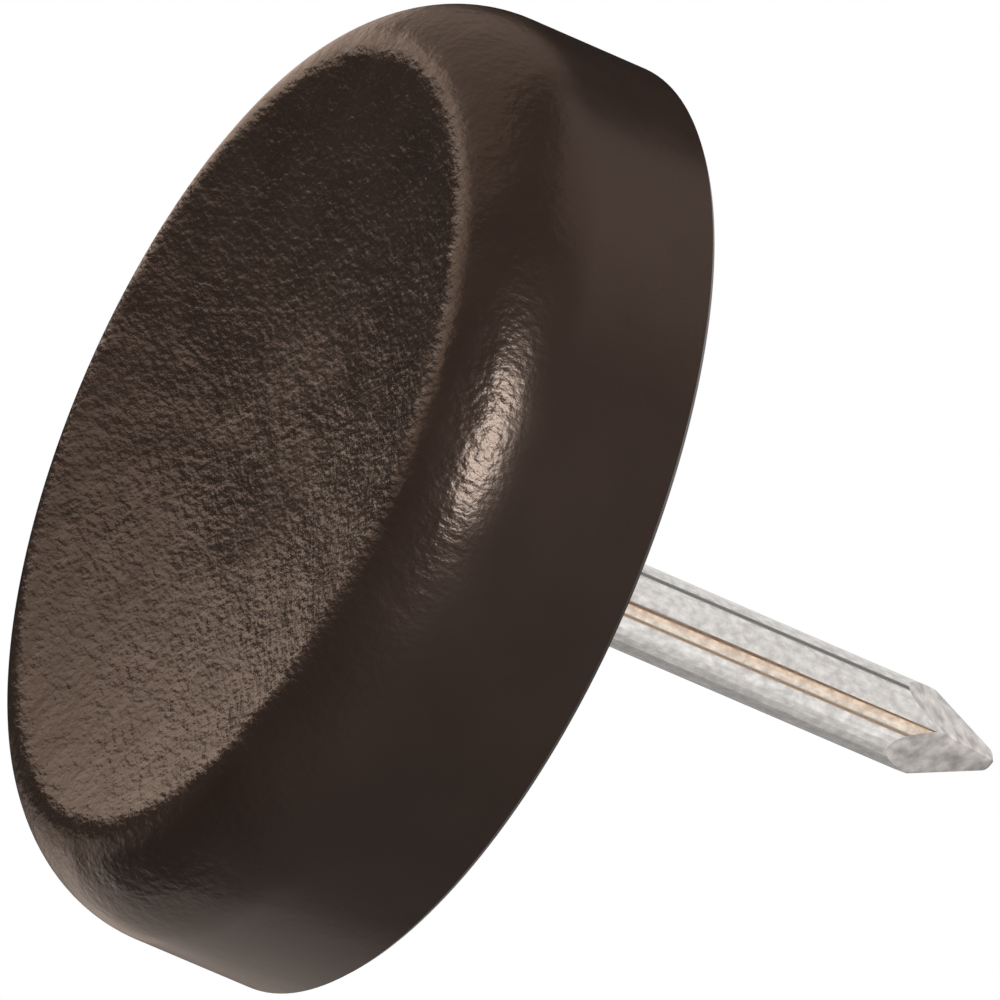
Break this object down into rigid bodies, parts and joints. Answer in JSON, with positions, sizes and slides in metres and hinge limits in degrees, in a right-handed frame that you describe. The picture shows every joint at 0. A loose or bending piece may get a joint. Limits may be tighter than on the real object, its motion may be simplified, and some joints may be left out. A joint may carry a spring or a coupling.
{
  "type": "nail-on furniture glide",
  "caption": "Round brown plastic furniture glide with a dished face and rounded rim, moulded onto a steel nail with a diamond point that is driven into the end of a wooden leg.",
  "frame": {"origin": "on the nail's axis, in the plane that the rim of the glide face rests on", "axes": "+Z along the nail towards its point, X and Y square to two flats of the point"},
  "size_m": [0.025, 0.025, 0.0225],
  "materials": {
    "plastic": "dark brown moulded plastic, fine grained on the face and rim, satin on the side wall",
    "steel": "bright drawn wire, duller on the clipped point"
  },
  "bodies": {
    "root": {"glide_base": "plastic", "nail": "steel"}
  },
  "joints": []
}
